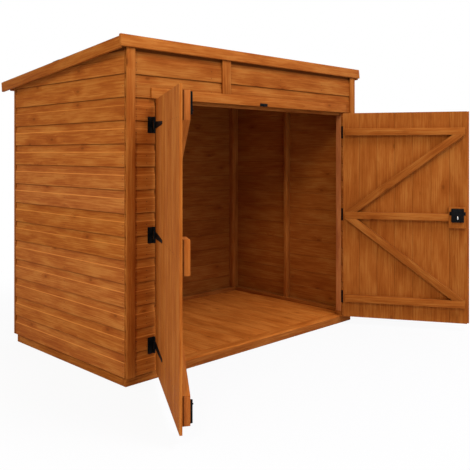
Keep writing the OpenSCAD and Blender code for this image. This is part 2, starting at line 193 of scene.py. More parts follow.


# %% [markdown]
# ## Timber finish
# The shed is softwood dipped in an orange-brown treatment. Real boards are cut from a log, so the growth
# rings are cylinders round a pith that runs along the board. Each piece carries an attribute named grain:
# metres along the board, across its face and through its thickness. The finish draws rings, fibres, knots
# and the uneven take-up of the dip in that space, so flat sawn faces show long arches and cut ends show
# arcs. Two more attributes shift the pattern and set the tone of each board, so that no two look alike. One
# named stain darkens the colour where it is high: a dark joint between tongued boards, and painted shade in
# the shiplap coves and under the laps, at the foot of the plain top boards and on the left door's blocks.
# Below zero it lightens the colour, as a painted highlight on the shiplap arrises.


# %% Timber
def timber_finish(name, dark, mid, light, rough=0.72, knots=0.14, saw=0.0):
    f = Finish(name)
    place = f.vector("ADD", f.attribute("grain"), f.attribute("board_shift"))
    stain = f.attribute("stain", "Fac")

    away, pick = f.cells(f.vector("MULTIPLY", place, (4.2, 9.0, 0.0)), 1.0, voronoi_dimensions="2D")
    here = f.math("LESS_THAN", pick, knots)
    core = f.math("MULTIPLY", f.span(away, 0.10, 0.03, kind="SMOOTHSTEP"), here)
    halo = f.math("MULTIPLY", f.span(away, 0.36, 0.06, kind="SMOOTHSTEP"), here)

    warp = f.noise(place, (1.4, 7.0, 7.0), output="Color")
    bent = f.vector("MULTIPLY_ADD", warp, (0.0, 0.030, 0.030), place)
    bent = f.vector("MULTIPLY_ADD", halo, (0.0, 0.012, 0.004), bent)
    rings = f.node("TexWave", wave_type="RINGS", rings_direction="X", wave_profile="SAW")
    ring = f.named(rings, Vector=bent, Scale=62.0).outputs["Fac"]

    fibre = f.noise(place, (5.0, 150.0, 150.0), 4.0, 0.6)
    take_up = f.noise(place, (3.6, 15.0, 15.0), 3.0, 0.6)
    fleck = f.noise(place, (11.0, 62.0, 62.0), 3.0, 0.65)
    pore = f.noise(place, (16.0, 900.0, 900.0), 2.0)

    figure = f.math("MULTIPLY", take_up, 0.50)
    for layer, share in ((fibre, 0.50), (ring, -0.08), (pore, 0.08), (halo, -0.10)):
        figure = f.math("MULTIPLY_ADD", layer, share, figure)
    colour = f.ramp(figure, (0.38, dark), (0.50, mid), (0.62, light))
    colour = f.mix(f.span(fleck, 0.62, 0.74, 0.0, 0.40), colour, tuple(0.72 * c for c in dark))
    colour = f.mix(f.math("MULTIPLY", core, 0.5), colour, tuple(0.45 * c for c in dark))
    # Stain above zero darkens: dark joints between tongued boards, and painted shade in the shiplap coves,
    # under the laps, at the foot of the plain top boards and on the left door's blocks.
    colour = f.mix(f.span(stain, 0.0, 1.0, 0.0, 0.9), colour, tuple(0.34 * c for c in dark))
    # Stain below zero lightens: a painted highlight on the shiplap arrises.
    colour = f.mix(f.span(stain, 0.0, -1.0, 0.0, 1.0), colour, tuple(1.5 * c for c in light))
    tone = f.attribute("board_tone", "Fac")
    shade = f.named(f.node("HueSaturation"), Color=colour, Value=tone,
                    Saturation=f.span(tone, 1.05, 1.35, 1.0, 0.9))

    height = f.math("MULTIPLY_ADD", ring, 0.5, f.math("MULTIPLY", pore, 0.7 + saw))
    f.bump(height, 0.25 + 0.3 * saw, 0.0006)
    return f.set(Base_Color=shade.outputs[0], Roughness=f.span(fibre, 0.3, 0.7, rough - 0.07, rough + 0.1),
                 Specular_IOR_Level=0.03)


SHIPLAP = timber_finish("shiplap timber", (0.300, 0.070, 0.0085), (0.390, 0.108, 0.0150),
                        (0.475, 0.165, 0.029))
PLANED = timber_finish("planed timber", (0.305, 0.074, 0.0090), (0.390, 0.109, 0.0155), (0.470, 0.158, 0.028),
                       knots=0.05)
FRAMING = timber_finish("framing timber", (0.260, 0.064, 0.0090), (0.350, 0.101, 0.0155),
                        (0.435, 0.146, 0.028), rough=0.80, saw=0.6)
# The floor timber is about half again brighter than the wall timber; part of that is painted light, so the
# floor under the roof reads as bright as the lit walls.
FLOORING_WITH_PAINTED_LIGHT = timber_finish("floor timber", (0.450, 0.108, 0.0115), (0.580, 0.161, 0.0200),
                         (0.695, 0.232, 0.037))
print("timber finishes:", SHIPLAP.name, PLANED.name, FRAMING.name, FLOORING_WITH_PAINTED_LIGHT.name)

# %% [markdown]
# ## Iron, steel and felt finishes
# The hinges, bolts and lock are black japanned iron: a thick satin paint with slight waves, a little paler
# where it has rubbed. The lock's turn is plated steel. The roof is mineral felt, bitumen with a grit of
# slate chips, which is why it looks speckled and quite matt.


# %% Iron, steel and felt
def iron_finish():
    f = Finish("black iron")
    place = f.own_place()
    wave = f.noise(place, (90.0, 90.0, 90.0), 3.0)
    grit = f.noise(place, (900.0, 900.0, 900.0), 2.0)
    f.bump(f.math("MULTIPLY_ADD", grit, 0.4, wave), 0.25, 0.0005)
    colour = f.ramp(wave, (0.35, (0.002, 0.002, 0.0022)), (0.72, (0.007, 0.007, 0.0075)))
    return f.set(Base_Color=colour, Roughness=f.span(wave, 0.3, 0.7, 0.46, 0.62), Specular_IOR_Level=0.07)


def steel_finish():
    f = Finish("bright steel")
    place = f.own_place()
    brush = f.noise(place, (2500.0, 2500.0, 60.0), 2.0)
    f.bump(brush, 0.1, 0.0003)
    colour = f.ramp(brush, (0.3, (0.62, 0.62, 0.60)), (0.7, (0.82, 0.82, 0.80)))
    return f.set(Base_Color=colour, Metallic=1.0, Roughness=f.span(brush, 0.3, 0.7, 0.22, 0.38))


def felt_finish():
    f = Finish("roofing felt")
    place = f.own_place()
    away, pick = f.cells(place, 520.0)
    stain = f.noise(place, (5.0, 5.0, 5.0), 4.0)
    speck = f.math("MULTIPLY_ADD", stain, 0.7, f.math("MULTIPLY", pick, 0.6))
    colour = f.ramp(speck, (0.30, (0.018, 0.020, 0.019)), (0.62, (0.048, 0.052, 0.049)),
                    (0.92, (0.13, 0.135, 0.13)))
    f.bump(f.math("SUBTRACT", 1.0, away), 0.6, 0.0012)
    return f.set(Base_Color=colour, Roughness=f.span(stain, 0.3, 0.7, 0.86, 0.98))


IRON, STEEL, FELT = iron_finish(), steel_finish(), felt_finish()
print("other finishes:", IRON.name, STEEL.name, FELT.name)

# %% [markdown]
# ## Eased timbers
# Studs, rails, strips, ledges and braces are plain bars, and the frame has each one at its true shape. What
# a plain solid lacks is the small round that planing and handling give each arris, which catches the light.
# So each is a copy of its solid with the loose triangles merged and the long edges bevelled. The grain runs
# along the longest edge of each bar, which the copy finds by itself, also on a slanting brace.


# %% Grain and pieces
def islands(bm):
    """Groups of connected vertices, one for each bar."""
    left = set(bm.verts)
    while left:
        group, edge = set(), [min(left, key=lambda v: v.index)]
        while edge:
            v = edge.pop()
            if v not in group:
                group.add(v)
                edge += [e.other_vert(v) for e in v.link_edges]
        left -= group
        yield sorted(group, key=lambda v: v.index)


def draw_grain(bm, dice, tone_level):
    """Writes the grain and tone attributes: along, across and through each bar."""
    grain = bm.verts.layers.float_vector.new("grain")
    tone = bm.verts.layers.float.new("board_tone")
    bm.verts.index_update()
    for bar in islands(bm):
        edges = {e for v in bar for e in v.link_edges}
        longest = max(edges, key=lambda e: (round(e.calc_length(), 5), -min(v.index for v in e.verts)))
        along = (longest.verts[1].co - longest.verts[0].co).normalized()
        side = min(Matrix.Identity(3), key=lambda axis: abs(axis.dot(along)))
        across = (side - along * side.dot(along)).normalized()
        through = along.cross(across)
        middle = sum((v.co for v in bar), Vector()) / len(bar)
        reach = [max(abs((v.co - middle).dot(axis)) for v in bar) for axis in (across, through)]
        if reach[1] > reach[0]:
            across, through = through, across
        shift = Vector((dice.uniform(0, 40), dice.uniform(-0.04, 0.04), dice.uniform(0.03, 0.09)))
        shade = tone_level * dice.uniform(0.95, 1.05)
        for v in bar:
            off = v.co - middle
            v[grain] = Vector((off.dot(along), off.dot(across), off.dot(through))) + shift
            v[tone] = shade


def shaded(made, angle=35.0):
    """Shades an object smooth, with edges sharper than an angle kept."""
    made.data.shade_smooth()
    made.data.set_sharp_from_angle(angle=math.radians(angle))
    return made


def piece(name, bm, finish, smooth_angle=35.0):
    """A mesh object at the origin from a bmesh."""
    mesh = bpy.data.meshes.new(name)
    bm.to_mesh(mesh)
    bm.free()
    mesh.materials.append(finish)
    return shaded(in_scene(name, mesh), smooth_angle)


def fit(made, body, slot, *solids):
    """Lets a finished piece ride on its body and stand for its solids."""
    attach(made, body)
    if solids:
        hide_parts(*solids)
    return made


# %% Eased copies
EASE = 0.0016
SHORTEST_ARRIS = 0.011
FLAT = math.radians(1)
SHARP = math.radians(40)


def bevelled(bm, edges, size):
    bmesh.ops.bevel(bm, geom=edges, offset=size, segments=2, profile=0.5, affect="EDGES", clamp_overlap=True)


def eased(node, body, finish, slot, tone, seed, after=None):
    """A copy of a solid with eased arrises; a last change to its mesh may be given."""
    bm = bmesh.new()
    bm.from_mesh(frame["nodes"][node].data)
    bmesh.ops.remove_doubles(bm, verts=bm.verts[:], dist=2e-5)
    bmesh.ops.dissolve_limit(bm, angle_limit=FLAT, verts=bm.verts[:], edges=bm.edges[:])
    arrises = [e for e in bm.edges if len(e.link_faces) == 2 and e.calc_length() > SHORTEST_ARRIS
               and e.calc_face_angle(0.0) > SHARP]
    bevelled(bm, arrises, EASE)
    bmesh.ops.dissolve_degenerate(bm, dist=1e-6, edges=bm.edges[:])
    draw_grain(bm, random.Random(seed), tone)
    if after:
        after(bm)
    return fit(piece(node + "_timber", bm, finish), body, slot, node)


TIMBERS = {
    "shed": (
        ("framing_timber", FRAMING, 1.0, (
            "floor_bearers", "floor_side_rims", "side_wall_studs", "side_wall_rails", "back_wall_studs",
            "back_wall_rails", "front_rails", "roof_purlins", "rear_eaves_batten")),
        # The door stop's low tone is painted shade: it sits in the shadow under the head strip.
        ("framing_timber", FRAMING, 0.72, ("door_stop",)),
        ("framing_timber", PLANED, 1.25, ("front_posts",)),
        ("floor_timber", FLOORING_WITH_PAINTED_LIGHT, 0.97, ("threshold_board",)),
        ("planed_timber", PLANED, 0.92, ("front_corner_strips", "back_corner_strips")),
        ("planed_timber", PLANED, 0.92, ("front_joint_strip", "door_head_strip", "bargeboards")),
        ("planed_timber", PLANED, 1.02, ("front_fascia",)),
    ),
    "left_door": (("planed_timber", PLANED, 1.05, ("left_door_ledges", "left_door_braces")),),
    "right_door": (
        ("planed_timber", PLANED, 0.91, ("right_door_ledges", "right_door_cover_strip", "lock_block")),
        ("planed_timber", PLANED, 0.82, ("right_door_braces",)),
    ),
}
timbers = [eased(node, body, finish, slot, tone, seed=31 * i + len(node)) for body, rows in TIMBERS.items()
           for slot, finish, tone, names in rows for i, node in enumerate(names)]
print("eased timbers:", len(timbers), "pieces,", sum(len(t.data.polygons) for t in timbers), "faces")

# %% [markdown]
# ## Boards by Geometry Nodes
# A wall is one board repeated. So a single board is swept from its profile, and a Geometry Nodes tree copies
# it along a step, with a random shift and tone stored on each copy. The result becomes a plain mesh, and
# what stands past the roof or the edge of a door is cut off with a plane, as a saw would.


# %% Tree builder
class Growth(Nodes):
    """A Geometry Nodes tree with named inputs, that sets copies of a shape on points."""

    def __init__(self, name, *inputs):
        super().__init__(bpy.data.node_groups.new(name, "GeometryNodeTree"))
        self.tree.is_modifier = True
        for label, kind in (("Geometry", "Geometry"), *inputs):
            self.tree.interface.new_socket(label, in_out="INPUT", socket_type="NodeSocket" + kind)
        self.tree.interface.new_socket("Geometry", in_out="OUTPUT", socket_type="NodeSocketGeometry")
        self.given = self.node("NodeGroupInput").outputs

    def rolled(self, kind, low, high):
        """A random value for each copy."""
        made = self.node("FunctionNodeRandomValue", data_type=kind)
        return live(self.named(made, Min=low, Max=high, Seed=self.given["Seed"]).outputs, "Value")

    def copies(self, points, shape, **more):
        made = self.node("GeometryNodeInstanceOnPoints")
        return self.named(made, Points=points, Instance=shape, **more).outputs[0]

    def ended(self, copies):
        """The copies become real mesh and get their finish."""
        real = self.fed(self.node("GeometryNodeRealizeInstances"), copies)
        painted = self.node("GeometryNodeSetMaterial")
        self.named(painted, Geometry=real, Material=self.given["Finish"])
        self.feed(self.node("NodeGroupOutput").inputs[0], painted.outputs[0])
        return self.tree


# %% Board run tree
def board_run_tree():
    g = Growth("board run", ("Count", "Int"), ("Step", "Vector"), ("Seed", "Int"), ("Tone", "Float"),
               ("Finish", "Material"))
    line = g.node("GeometryNodeMeshLine", mode="OFFSET")
    g.named(line, Count=g.given["Count"], Offset=g.given["Step"])
    copies = g.copies(line.outputs[0], g.given["Geometry"])
    shift = g.rolled("FLOAT_VECTOR", (0, -0.05, 0.03), (40, 0.05, 0.09))
    tone = g.rolled("FLOAT", 0.95, 1.05)
    tone = g.fed(g.node("ShaderNodeMath", operation="MULTIPLY"), tone, g.given["Tone"])
    for name, kind, value in (("board_shift", "FLOAT_VECTOR", shift), ("board_tone", "FLOAT", tone)):
        store = g.node("GeometryNodeStoreNamedAttribute", data_type=kind, domain="INSTANCE")
        copies = g.named(store, Geometry=copies, Name=name, Value=value).outputs[0]
    return g.ended(copies)


def grown(made, tree, **inputs):
    """Runs a tree on an object and keeps the result as its plain mesh."""
    modifier = made.modifiers.new("grow", "NODES")
    modifier.node_group = tree
    for item in tree.interface.items_tree:
        if item.item_type == "SOCKET" and item.in_out == "INPUT" and item.name in inputs:
            modifier[item.identifier] = inputs[item.name]
    return baked(made, modifier)


def baked(made, modifier):
    """Keeps what a modifier makes as the object's plain mesh."""
    made.update_tag()
    bpy.context.view_layer.update()
    graph = bpy.context.evaluated_depsgraph_get()
    mesh = bpy.data.meshes.new_from_object(made.evaluated_get(graph), preserve_all_data_layers=True,
                                           depsgraph=graph)
    made.modifiers.remove(modifier)
    made.data = mesh
    return made


BOARD_RUN = board_run_tree()
print("board run tree:", len(BOARD_RUN.nodes), "nodes")


# %% Sweeping and sawing
def face_out(bm):
    """Turns all faces outwards. This reads each face's normal, which a new or moved face has not got yet."""
    bm.normal_update()
    bmesh.ops.recalc_face_normals(bm, faces=bm.faces[:])


def strip(bm, low, high):
    """Faces between two rows of points."""
    for corners in zip(low, low[1:], high[1:], high):
        bm.faces.new(corners)


def wrapped(bm, low, high):
    """Faces all round, between two closed loops of points."""
    strip(bm, low + low[:1], high + high[:1])


def prism(bm, low, high):
    """A closed bar between two loops of points; hands back its last face."""
    wrapped(bm, low, high)
    bm.faces.new(low[::-1])
    return bm.faces.new(high)


def swept(profile, length, place):
    """A closed bar from a profile of (depth, height, stain) points, with its grain along the sweep."""
    bm = bmesh.new()
    grain = bm.verts.layers.float_vector.new("grain")
    # The stain layer holds dark joints, painted shade and a painted highlight.
    stain_and_painted_light = bm.verts.layers.float.new("stain")
    ends = []
    for s in (0.0, length):
        row = []
        for depth, height, stain in profile:
            v = bm.verts.new((s, depth, height))
            v[grain], v[stain_and_painted_light] = Vector((s, height, depth)), stain
            row.append(v)
        ends.append(row)
    prism(bm, *ends)
    bm.transform(place)
    face_out(bm)
    return bm


def sliced(bm, point, way, **settings):
    """Cuts a mesh along a plane."""
    return bmesh.ops.bisect_plane(bm, geom=bm.verts[:] + bm.edges[:] + bm.faces[:], dist=1e-6, plane_co=point,
                                  plane_no=way, **settings)


def sawn(made, point, outward):
    """Cuts off what stands past a plane and closes the cut."""
    bm = bmesh.new()
    bm.from_mesh(made.data)
    cut = sliced(bm, point, outward, clear_outer=True)
    edges = [g for g in cut["geom_cut"] if isinstance(g, bmesh.types.BMEdge)]
    bmesh.ops.holes_fill(bm, edges=edges, sides=0)
    bm.to_mesh(made.data)
    bm.free()
    return made


def board_run(name, profile, count, step, length, place, seed, finish, tone=1.0):
    made = piece(name, swept(profile, length, place), finish)
    return grown(made, BOARD_RUN, Count=count, Step=step, Seed=seed, Tone=tone, Finish=finish)


# %% [markdown]
# ## Shiplap walls
# Each shiplap board is 120 mm of cover, 12 mm thick. Its lower edge laps over the tongue of the board below,
# and above its flat face a hollow, the cove, runs back to the tongue. From outside this reads as a dark
# line under each lap, then the hollow, then a bright arris where the flat face starts. The hollow is real
# geometry, because a flat wall with painted lines would lose the step along its edges. On top of it the
# colour carries painted shade under each lap and in the top of the cove, and a painted highlight on the
# arris, which fades out above shoulder height. On the front and the sides the top board ends at its tongue,
# and a thin plain board fills the rest of the wall up to the roof, behind the fascia and the bargeboards.
# Its foot carries painted shade from them.

# %% Shiplap profile
BOARD = 0.012
COVER = 0.120
COVE_FOOT = 0.078
COVE_DEPTH = 0.0062
LAP = 0.009
TONGUE_TOP = COVER + 0.0075
TONGUE_BACK = 0.0068


def shiplap_profile(arris_highlight):
    cove = []
    # Painted shade darkens the top of the cove under the lap; below zero, the arris gets a painted highlight.
    for t, stain in ((0.0, -arris_highlight), (0.05, 0.0), (0.13, 0.0), (0.24, 0.0), (0.38, 0.0), (0.56, 0.02),
                     (0.76, 0.05), (0.90, 0.15), (0.96, 0.6), (1.0, 0.8)):
        cove.append((COVE_DEPTH * (1 - (1 - t) ** 4), COVE_FOOT + (COVER - COVE_FOOT) * t, stain))
    # Painted shade darkens the lap's lower arris, its underside and the tongue; the back face is a little
    # darker too.
    edge = [(0.0, COVE_FOOT - 0.005, 0.0), (0.0, 0.0040, 0.0), (0.0, 0.0012, 0.3), (0.0008, 0.0, 0.7)]
    lap = [(0.0050, 0.0, 1.0), (0.0050, LAP, 1.0), (BOARD, LAP, 0.3), (BOARD, TONGUE_TOP, 0.3)]
    tongue = [(TONGUE_BACK, TONGUE_TOP, 1.0), (TONGUE_BACK, COVER, 1.0)]
    return edge + lap + tongue + cove[::-1]


print("shiplap profile:", len(shiplap_profile(1.0)), "points")

# %% Roof plane
PITCH = math.radians(6)
ROOF_EDGE = Vector((0.0, -0.621, 1.806))
UNDER_ROOF = -0.01502
RIGHT, LEFT, BACK, FRONT = (1, 0, 0), (-1, 0, 0), (0, 1, 0), (0, -1, 0)
UP, DOWN, ORIGIN = (0, 0, 1), (0, 0, -1), (0, 0, 0)


def carried(place, point, way):
    """A point and a direction, both carried along by a placing matrix."""
    return place @ Vector(point), place.to_3x3() @ Vector(way)


roof_place = Matrix.Translation(ROOF_EDGE) @ Matrix.Rotation(-PITCH, 4, "X")
under_roof, roof_up = carried(roof_place, (0, 0, UNDER_ROOF), UP)
print("roof falls", round(math.degrees(PITCH), 1), "degrees")


# %% Walls
# Heights over which the painted highlight on the arrises fades out.
HIGHLIGHT_FULL, HIGHLIGHT_GONE = 1.40, 1.53


def basis(origin, along, depth, across=UP):
    """Places a swept bar: its length along, its depth inward and its profile's height across."""
    return Matrix.Translation(origin) @ Matrix((along, depth, across)).transposed().to_4x4()


def keep_painted_highlight_low(made):
    """Fades the painted highlight on the arrises out above shoulder height."""
    for v, mark in zip(made.data.vertices, made.data.attributes["stain"].data):
        if mark.value < 0:
            mark.value *= min(1.0, max(0.0, (HIGHLIGHT_GONE - v.co.z) / (HIGHLIGHT_GONE - HIGHLIGHT_FULL)))


def wall(node, along, inward, seed, tone, arris_highlight, plain_top=False):
    low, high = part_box(node)
    origin = Vector(tuple(low[i] if along[i] + inward[i] > 0 else high[i] for i in range(2)) + (low.z,))
    length = abs((high - low).dot(Vector(along)))
    count = math.ceil((high.z - low.z) / COVER - 0.01) - plain_top
    laid = ((0, 0, COVER), length, basis(origin, along, inward), seed, SHIPLAP, tone)
    made = board_run(node + "_boards", shiplap_profile(arris_highlight), count, *laid)
    keep_painted_highlight_low(made)
    if plain_top:
        base, head = (count - 1) * COVER + TONGUE_TOP, high.z - low.z
        # The plain top board is dark at its foot and fades upwards: painted shade under the fascia and the
        # bargeboards.
        section = [(TONGUE_BACK, base, 1.0), (BOARD, base, 1.0), (BOARD, head, 0.0), (TONGUE_BACK, head, 0.0)]
        top = board_run(node + "_top_board", section, 1, *laid)
        fit(shaded(sawn(top, under_roof, roof_up)), "shed", "shiplap_timber")
    if high.z > under_roof.z - 0.2:
        sawn(made, under_roof, roof_up)
    return fit(shaded(made), "shed", "shiplap_timber", node)


# The last number in each call is the strength of the painted highlight on the arrises.
walls = [
    wall("left_wall", FRONT, RIGHT, 3, 1.05, 0.85, plain_top=True),
    wall("right_wall", BACK, LEFT, 11, 1.0, 0.85, plain_top=True),
    wall("back_wall", LEFT, FRONT, 23, 0.90, 1.0),
    wall("front_left_panel", RIGHT, BACK, 37, 0.99, 0.75),
    wall("front_right_panel", RIGHT, BACK, 41, 1.0, 0.75),
    wall("front_head_panel", RIGHT, BACK, 53, 0.84, 0.0, plain_top=True),
]
print("shiplap faces:", {w.name: len(w.data.polygons) for w in walls})

# %% [markdown]
# ## Floor and roof boards
# The floor boards run from front to back, tongued and grooved, with a small V at each joint. The roof boards
# are the same kind, laid level along the roof under the felt.


# %% Tongue and groove boards
BACK_ROUND, BACK_FLAT = 0.0006, 0.003
GROOVE_DEEP, GROOVE_SLACK, TONGUE_LONG = 0.006, 0.0004, 0.005


def tongue_board(pitch, thick, vee, gap):
    """Profile across a board, from its groove to its tongue; the joint is stained."""

    def edge(at, inward, middle, slack):
        low, high = thick / 3 - slack, 2 * thick / 3 + slack
        face = [(0.0, at + 2 * vee * inward, 0.0), (0.0, at + vee * inward, 0.2), (vee, at, 0.8)]
        joint = [(low, at, 1.0), (low, middle, 1.0), (high, middle, 1.0), (high, at, 1.0)]
        return face + joint + [(thick - BACK_ROUND, at, 0.4), (thick, at + BACK_ROUND * inward, 0.1),
                               (thick, at + BACK_FLAT * inward, 0.0)]

    return edge(gap, 1, gap + GROOVE_DEEP, GROOVE_SLACK) + edge(pitch, -1, pitch + TONGUE_LONG, 0.0)[::-1]


FLOOR_BOARDS = 17
JOINT_VEE, JOINT_GAP = 0.0012, 0.0005
low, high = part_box("floor_deck")
pitch = (high.x - low.x) / FLOOR_BOARDS
profile = tongue_board(pitch, high.z - low.z, JOINT_VEE, JOINT_GAP)
floor = board_run("floor_boards", profile, FLOOR_BOARDS, (pitch, 0, 0), high.y - low.y,
                  basis((low.x, low.y, high.z), BACK, DOWN, RIGHT), 7, FLOORING_WITH_PAINTED_LIGHT)
fit(shaded(sawn(floor, high, Vector(RIGHT))), "shed", "floor_timber", "floor_deck")

ROOF_BOARDS = 11
DECK_TOP, DECK_BOTTOM = -0.005, -0.015
DECK_START, ROOF_LENGTH, DECK_HALF = 0.016, 1.3313, 1.023
pitch = (ROOF_LENGTH - DECK_START) / ROOF_BOARDS
spread = roof_place @ basis((-DECK_HALF, DECK_START, DECK_BOTTOM), RIGHT, UP, BACK)
profile = tongue_board(pitch, DECK_TOP - DECK_BOTTOM, JOINT_VEE, JOINT_GAP)
deck = board_run("roof_boards", profile, ROOF_BOARDS, roof_place.to_3x3() @ Vector((0, pitch, 0)),
                 2 * DECK_HALF, spread, 19, FRAMING)
sawn(deck, *carried(roof_place, (0, ROOF_LENGTH, 0), BACK))
fit(shaded(deck), "shed", "framing_timber", "roof_deck")
print("floor and roof boards:", len(floor.data.polygons), len(deck.data.polygons), "faces")

# %% [markdown]
# ## Door leaves
# Each leaf is seven upright boards, tongued and grooved, with a V on the outer face. The joiner saws the
# groove off the first board and the tongue off the last one, so the run starts and ends a little past the
# leaf and is cut at both edges. Everything on a door is drawn as on the shut door, from the middle of the
# gap at its hinges, and then turned about the hinge pin to where the frame's door stands. The right door is
# the mirror image of the left one.

# %% Door places
joints = {j["name"]: j for j in frame["joints"]}
DOOR_GAP = 0.006
panel_edges = {"left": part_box("front_left_panel")[1].x, "right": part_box("front_right_panel")[0].x}


def pin_place(side, shut=False):
    joint = joints[side + "_door_hinge"]
    angle = 0.0 if shut else math.radians(joint["range_deg"][0])
    pin = Matrix.Translation((*joint["pos_m"][:2], 0))
    if side == "left":
        return pin @ Matrix.Rotation(angle, 4, "Z")
    return pin @ Matrix.Rotation(-angle, 4, "Z") @ Matrix.Scale(-1, 4, RIGHT)


def pin_to_gap(side):
    """How far the middle of the gap beside the door lies from the hinge pin."""
    return abs(panel_edges[side] + (DOOR_GAP / 2 if side == "left" else -DOOR_GAP / 2)
               - joints[side + "_door_hinge"]["pos_m"][0])


def door_place(side):
    return pin_place(side) @ Matrix.Translation((pin_to_gap(side), 0, 0))


# %% Door leaves
LEAF_BOARDS, LEAF_VEE, LEAF_JOINT = 7, 0.0022, 0.0006
LEAF_EDGE = DOOR_GAP / 2
LEAF_WIDTH = (panel_edges["right"] - panel_edges["left"] - 3 * DOOR_GAP) / 2
LEAF_FREE = LEAF_EDGE + LEAF_WIDTH
LEAF_FACE = 0.006
LEAF_BACK = LEAF_FACE + BOARD
LEDGE_FACE = LEAF_BACK + 0.038
LEDGE_RISE = 0.134
TRIM = 0.007
leaf_low, leaf_high = (corner.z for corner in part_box("left_door_boards"))
LEDGE_HEIGHTS = (leaf_low + LEDGE_RISE, (leaf_low + leaf_high) / 2, leaf_high - LEDGE_RISE)
for side, seed, tone in (("left", 5, 1.04), ("right", 29, 0.88)):
    place = door_place(side)
    pitch = (LEAF_WIDTH + 2 * TRIM) / LEAF_BOARDS
    upright = basis((LEAF_EDGE - TRIM, LEAF_FACE, leaf_low), UP, BACK, RIGHT)
    leaf = board_run(side + "_door_leaf", tongue_board(pitch, BOARD, LEAF_VEE, LEAF_JOINT), LEAF_BOARDS,
                     place.to_3x3() @ Vector((pitch, 0, 0)), leaf_high - leaf_low, place @ upright, seed,
                     PLANED, tone)
    for edge, way in ((LEAF_EDGE, LEFT), (LEAF_FREE, RIGHT)):
        sawn(leaf, *carried(place, (edge, 0, 0), way))
    fit(shaded(leaf), side + "_door", "planed_timber", side + "_door_boards")
    print(leaf.name, len(leaf.data.polygons), "faces")

# %% [markdown]
# ## Blocks on the left door
# Three blocks carry the bolts and stiffen the free edge of the left door. The edge of the leaf casts a shadow
# on the end of each block next to it, and that shadow is painted as a dark line. A cut is made through each
# block at the width of that line, and the points on the leaf's side of it get the dark stain that paints it.

# %% Blocks
PAINTED_SHADOW_WIDTH = 0.011
FADE = 0.0015


# Paints the shadow that the edge of the leaf casts on each block's end, as a band of dark stain.
def paint_shadow_at_leaf(bm):
    place = door_place("left")
    for depth in (LEAF_BACK + PAINTED_SHADOW_WIDTH, LEAF_BACK + PAINTED_SHADOW_WIDTH + FADE):
        sliced(bm, *carried(place, (0, depth, 0), BACK))
    stain = bm.verts.layers.float.new("stain")
    to_leaf = place.inverted()
    for v in bm.verts:
        v[stain] = float((to_leaf @ v.co).y < LEAF_BACK + PAINTED_SHADOW_WIDTH + FADE / 2)


blocks = eased("left_door_blocks", "left_door", PLANED, "planed_timber", 1.05, 77, paint_shadow_at_leaf)
print("blocks:", len(blocks.data.polygons), "faces")

# %% [markdown]
# ## Roofing felt
# The felt lies in two strips along the roof, the upper one lapped over the lower one. It is turned down over
# the edges of the roof boards, where it shows as a thin dark line over the bargeboards, and at the back it
# hangs as a short drip. It is drawn as one section along the slope and swept across the roof.

# %% Felt
FELT_THICK = 0.0022
FELT_DROP = 0.045
LAP_START, LAP_END = 0.62, 0.70
EDGE_LIP = 0.0046
FELT_COLUMNS = 44


def felt_section():
    """Top surface of the felt as (distance down the slope, height over the roof boards)."""
    up = [(DECK_START + 0.0005 + (LAP_START - DECK_START) * i / 14, 0.0) for i in range(14)]
    lap = [(LAP_START, 0.0), (LAP_START + 0.012, FELT_THICK * 0.8), (LAP_START + 0.03, FELT_THICK),
           (LAP_END, FELT_THICK), (LAP_END + 0.0004, 0.0002)]
    down = [(LAP_END + (ROOF_LENGTH - LAP_END) * i / 14, 0.0) for i in range(1, 15)]
    return up + lap + down


def felt_sheet():
    dice = random.Random(61)
    bm = bmesh.new()
    section = felt_section()
    columns = [-DECK_HALF + 2 * DECK_HALF * i / FELT_COLUMNS for i in range(FELT_COLUMNS + 1)]
    across = [-DECK_HALF - FELT_THICK, *columns, DECK_HALF + FELT_THICK]
    rows = []
    for y, lift in section:
        row = []
        for i, x in enumerate(across):
            lip = i in (0, len(across) - 1)
            wave = 0.0 if lip or i in (1, len(across) - 2) else dice.uniform(0, 0.0005)
            rise = FELT_THICK * 0.4 if lip else FELT_THICK
            row.append(bm.verts.new((x, y, DECK_TOP + rise + lift + wave)))
        rows.append(row)
    last = section[-1][0]
    for drop, out in ((0.0006, FELT_THICK * 0.8), (0.004, FELT_THICK), (FELT_DROP, FELT_THICK)):
        rows.append([bm.verts.new((x, last + out, DECK_TOP + FELT_THICK - drop)) for x in across])
    for a, b in zip(rows, rows[1:]):
        strip(bm, a, b)
    for i in (0, -1):
        rim = [row[i] for row in rows[:len(section)]]
        strip(bm, rim, [bm.verts.new(v.co - Vector((0, 0, EDGE_LIP))) for v in rim])
    face_out(bm)
    if sum((f.normal.z for f in bm.faces)) < 0:
        bmesh.ops.reverse_faces(bm, faces=bm.faces[:])
    bm.transform(roof_place)
    made = piece("felt_sheet", bm, FELT, 50.0)
    thick = made.modifiers.new("thickness", "SOLIDIFY")
    thick.thickness, thick.offset = FELT_THICK * 0.8, -1.0
    return baked(made, thick)


felt = fit(felt_sheet(), "shed", "roofing_felt", "roof_felt")
print("felt:", len(felt.data.polygons), "faces")

# %% [markdown]
# ## Ironwork plates
# Hinge plates, straps, bolt plates and the catch are cut from sheet iron. Each is an outline that is given
# its thickness and a small bevel. The knuckles roll round the hinge pin, so they are short turned pieces.


# %% Plate and turned helpers
def rounded(points, radius, steps=4):
    """An outline with each corner rounded."""
    result = []
    for i, corner in enumerate(points):
        before, after = Vector(points[i - 1]), Vector(points[(i + 1) % len(points)])
        here = Vector(corner)
        r = min(radius, (before - here).length / 2.1, (after - here).length / 2.1)
        a, b = here + (before - here).normalized() * r, here + (after - here).normalized() * r
        shares = [k / steps for k in range(steps + 1)]
        result += [tuple(a.lerp(here, t).lerp(here.lerp(b, t), t)) for t in shares]
    return result


